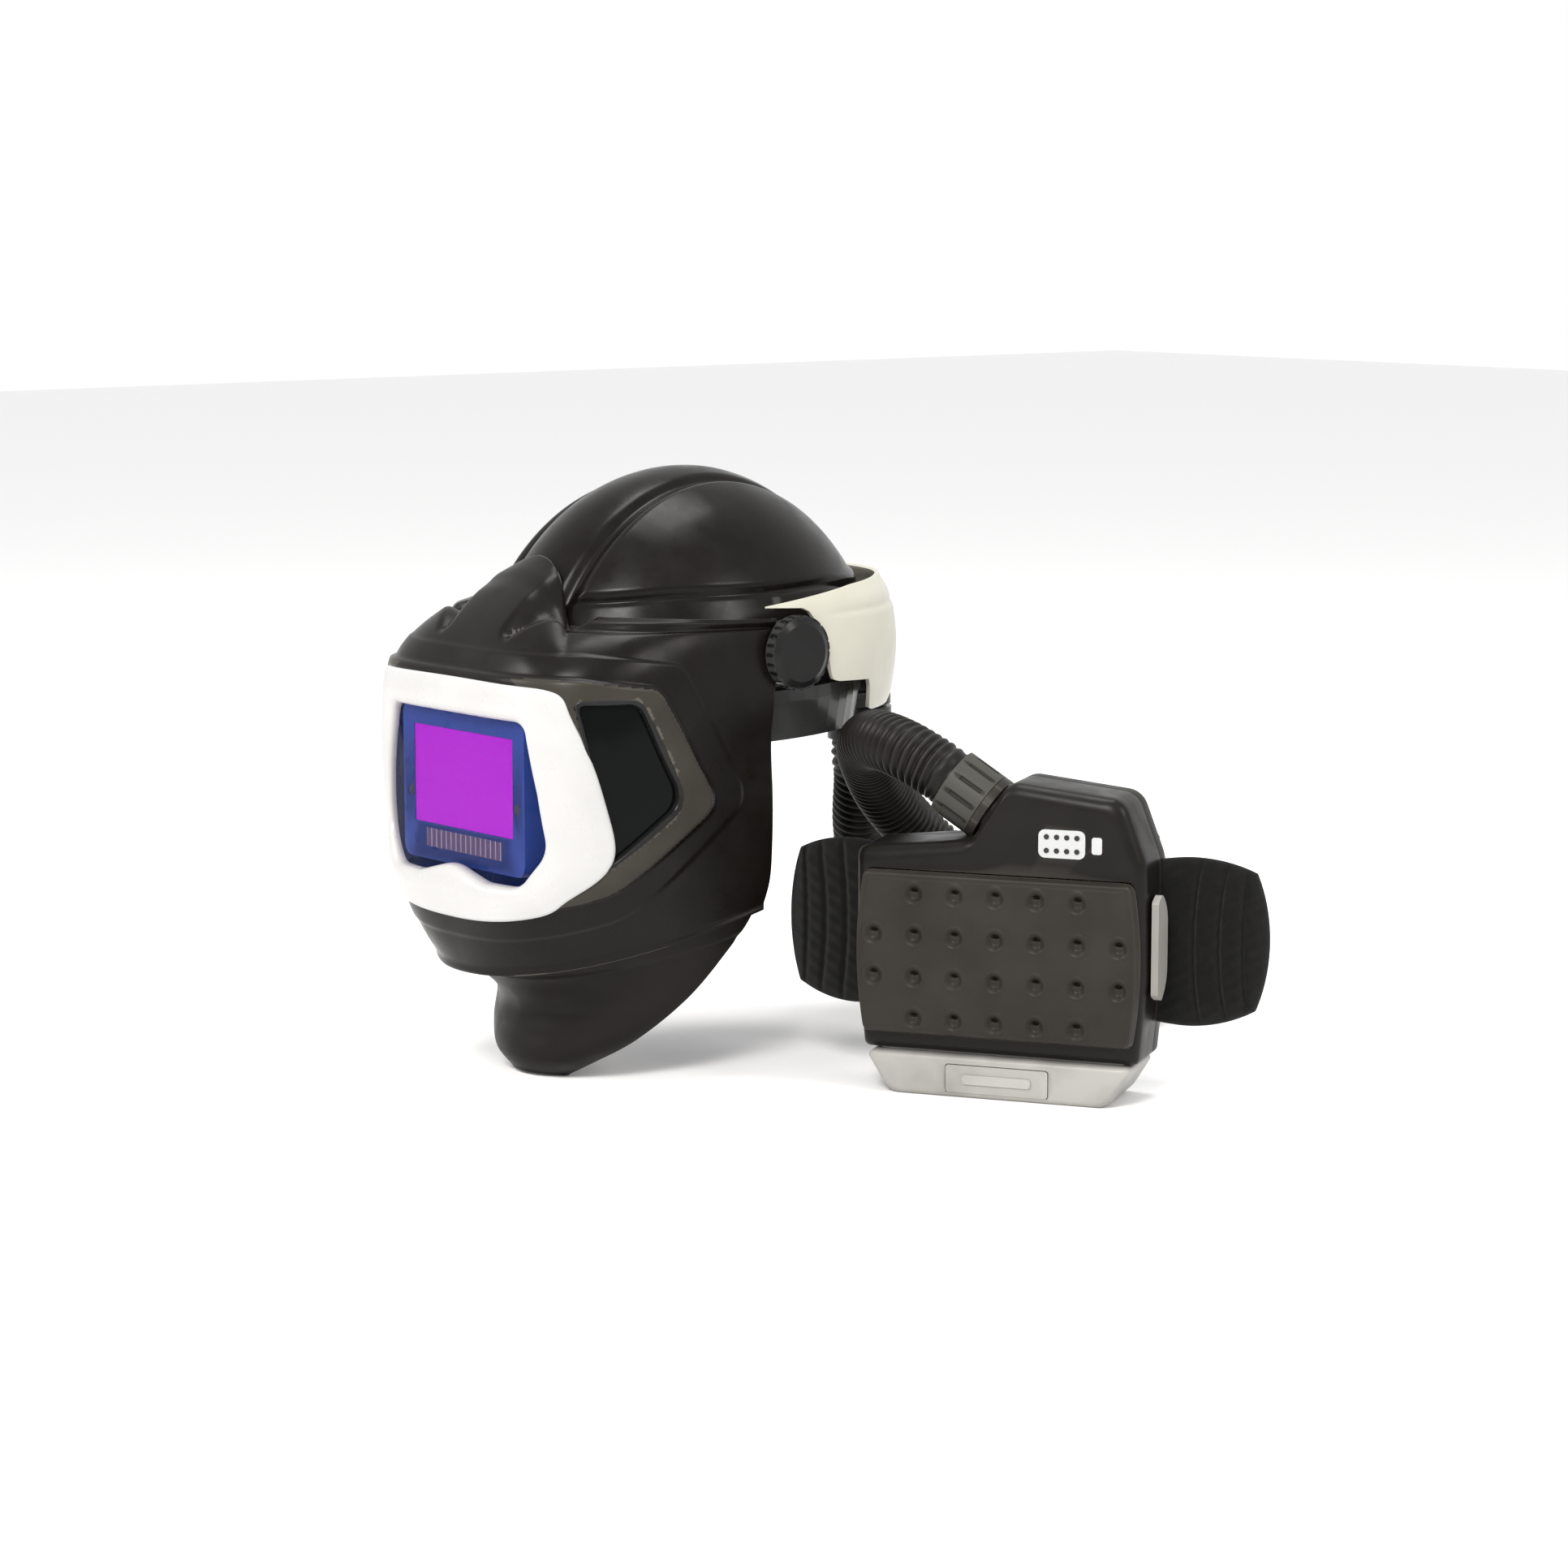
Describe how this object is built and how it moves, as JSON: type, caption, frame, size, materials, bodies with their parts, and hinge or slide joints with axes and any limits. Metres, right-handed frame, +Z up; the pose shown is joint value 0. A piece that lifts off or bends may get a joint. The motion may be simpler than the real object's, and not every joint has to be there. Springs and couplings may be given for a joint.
{
  "type": "powered air respirator",
  "caption": "Powered air respirator: lift-up welding helmet with hard hat and automatic filter, corrugated breathing hose and belt-worn filter blower.",
  "frame": {"origin": "centre of the underside of the battery, which rests on the table", "axes": "+X to the wearer's left across the helmet, -Y the way the helmet faces, +Z up; the blower is turned 30 degrees about Z"},
  "size_m": [0.4791, 0.5427, 0.3779],
  "materials": {
    "shell_black": "satin moulded black shell",
    "frame_white": "smooth white plastic",
    "cover_cream": "smooth cream plastic",
    "window_tint": "very dark green side window",
    "filter_magenta": "magenta coated filter glass",
    "plate_blue": "blue coated cover plate",
    "cassette_blue": "dark blue filter cassette",
    "clear_plate": "clear polycarbonate",
    "solar_dark": "dark red solar cell",
    "sensor_dark": "dark sensor lens",
    "button_grey": "grey rubber buttons",
    "harness_black": "matt black nylon",
    "knob_black": "black knob",
    "foam_grey": "grey towelling over foam",
    "webbing_black": "woven black webbing",
    "trim_rubber": "black rubber",
    "seal_cloth": "flame retardant cloth",
    "throat_black": "soft moulded throat guard",
    "hose_black": "corrugated black hose",
    "cuff_grey": "greenish grey cuff",
    "housing_black": "satin black housing",
    "cover_grey": "dark warm grey cover",
    "latch_grey": "grey latch",
    "battery_grey": "light grey battery case",
    "steel": "steel",
    "filter_paper": "pleated filter paper",
    "fan_grey": "glass filled nylon",
    "motor_grey": "motor can",
    "board_green": "circuit board",
    "light_white": "translucent light",
    "pad_black": "padded belt cloth"
  },
  "bodies": {
    "root": {"hard_hat_shell": "shell_black", "hat_rim_trim": "trim_rubber", "headband": "harness_black", "sweatband": "foam_grey", "crown_straps": "webbing_black", "ratchet_housing": "harness_black", "nape_pad": "foam_grey", "nape_frame": "harness_black", "pivot_brackets": "harness_black", "pivot_pins": "steel", "rear_cover": "cover_cream", "air_duct": "harness_black", "inlet_port": "harness_black", "breathing_hose": "hose_black", "helmet_cuff": "harness_black", "front_housing": "housing_black", "back_housing": "housing_black", "outlet_port": "housing_black", "spark_arrestor": "steel", "particle_filter": "filter_paper", "filter_gasket": "trim_rubber", "fan_volute": "fan_grey", "fan_motor": "motor_grey", "circuit_board": "board_green", "status_light": "light_white", "housing_screws": "steel", "belt_pad_left": "pad_black", "belt_pad_right": "pad_black", "belt_webbing": "webbing_black", "buckle_socket": "harness_black", "buckle_plug": "harness_black"},
    "visor": {"visor_shell": "shell_black", "visor_hubs": "harness_black", "front_frame": "frame_white", "cover_plate": "plate_blue", "filter_body": "cassette_blue", "filter_glass": "filter_magenta", "solar_cell": "solar_dark", "light_sensors": "sensor_dark", "filter_coin_cells": "steel", "inner_plate": "clear_plate", "side_window_left": "window_tint", "side_window_right": "window_tint", "face_seal": "seal_cloth", "throat_guard": "throat_black"},
    "pivot_knob_left": {"pivot_knob_left": "knob_black"},
    "pivot_knob_right": {"pivot_knob_right": "knob_black"},
    "ratchet_knob": {"ratchet_knob": "harness_black"},
    "filter_cover": {"filter_cover": "cover_grey"},
    "cover_latch": {"cover_latch": "latch_grey"},
    "battery": {"battery_pack": "battery_grey"},
    "battery_latch": {"battery_latch": "battery_grey"},
    "impeller": {"impeller": "fan_grey"},
    "keypad": {"keypad": "frame_white"},
    "blower_cuff": {"blower_cuff": "cuff_grey"},
    "shade_button": {"shade_button": "button_grey"},
    "sensitivity_button": {"sensitivity_button": "button_grey"},
    "delay_button": {"delay_button": "button_grey"}
  },
  "joints": [
    {"name": "visor_lift", "type": "hinge", "parent": "root", "child": "visor", "pos_m": [-0.235, -0.072, 0.269], "axis": [-1, 0, 0], "range_deg": [0, 72]},
    {"name": "pivot_knob_left_turn", "type": "hinge", "parent": "root", "child": "pivot_knob_left", "pos_m": [-0.119, -0.072, 0.269], "axis": [1, 0, 0], "range_deg": [-90, 90]},
    {"name": "pivot_knob_right_turn", "type": "hinge", "parent": "root", "child": "pivot_knob_right", "pos_m": [-0.351, -0.072, 0.269], "axis": [-1, 0, 0], "range_deg": [-90, 90]},
    {"name": "ratchet_turn", "type": "hinge", "parent": "root", "child": "ratchet_knob", "pos_m": [-0.235, 0.051, 0.25], "axis": [0, 1, 0], "continuous": true},
    {"name": "filter_cover_swing", "type": "hinge", "parent": "root", "child": "filter_cover", "pos_m": [-0.06181, -0.07494, 0.089], "axis": [0, 0, -1], "range_deg": [0, 105]},
    {"name": "cover_latch_press", "type": "slide", "parent": "root", "child": "cover_latch", "axis": [-0.866, -0.5, 0], "range_m": [0, 0.0012], "stiffness_N_per_m": 800},
    {"name": "battery_slide", "type": "slide", "parent": "root", "child": "battery", "axis": [0, 0, -1], "range_m": [0, 0.04]},
    {"name": "battery_latch_press", "type": "slide", "parent": "battery", "child": "battery_latch", "axis": [-0.5, 0.866, 0], "range_m": [0, 0.0015], "stiffness_N_per_m": 600},
    {"name": "impeller_spin", "type": "hinge", "parent": "root", "child": "impeller", "pos_m": [0.00193, 0.01266, 0.092], "axis": [-0.5, 0.866, 0], "continuous": true},
    {"name": "keypad_press", "type": "slide", "parent": "root", "child": "keypad", "axis": [-0.5, 0.866, 0], "range_m": [0, 0.0008], "stiffness_N_per_m": 1500},
    {"name": "blower_cuff_turn", "type": "hinge", "parent": "root", "child": "blower_cuff", "pos_m": [-0.02932, -0.01231, 0.18679], "axis": [-0.7263, -0.4193, 0.5446], "range_deg": [0, 30]},
    {"name": "shade_button_press", "type": "slide", "parent": "visor", "child": "shade_button", "axis": [0, -1, 0], "range_m": [0, 0.0008], "stiffness_N_per_m": 800},
    {"name": "sensitivity_button_press", "type": "slide", "parent": "visor", "child": "sensitivity_button", "axis": [0, -1, 0], "range_m": [0, 0.0008], "stiffness_N_per_m": 800},
    {"name": "delay_button_press", "type": "slide", "parent": "visor", "child": "delay_button", "axis": [0, -1, 0], "range_m": [0, 0.0008], "stiffness_N_per_m": 800}
  ]
}
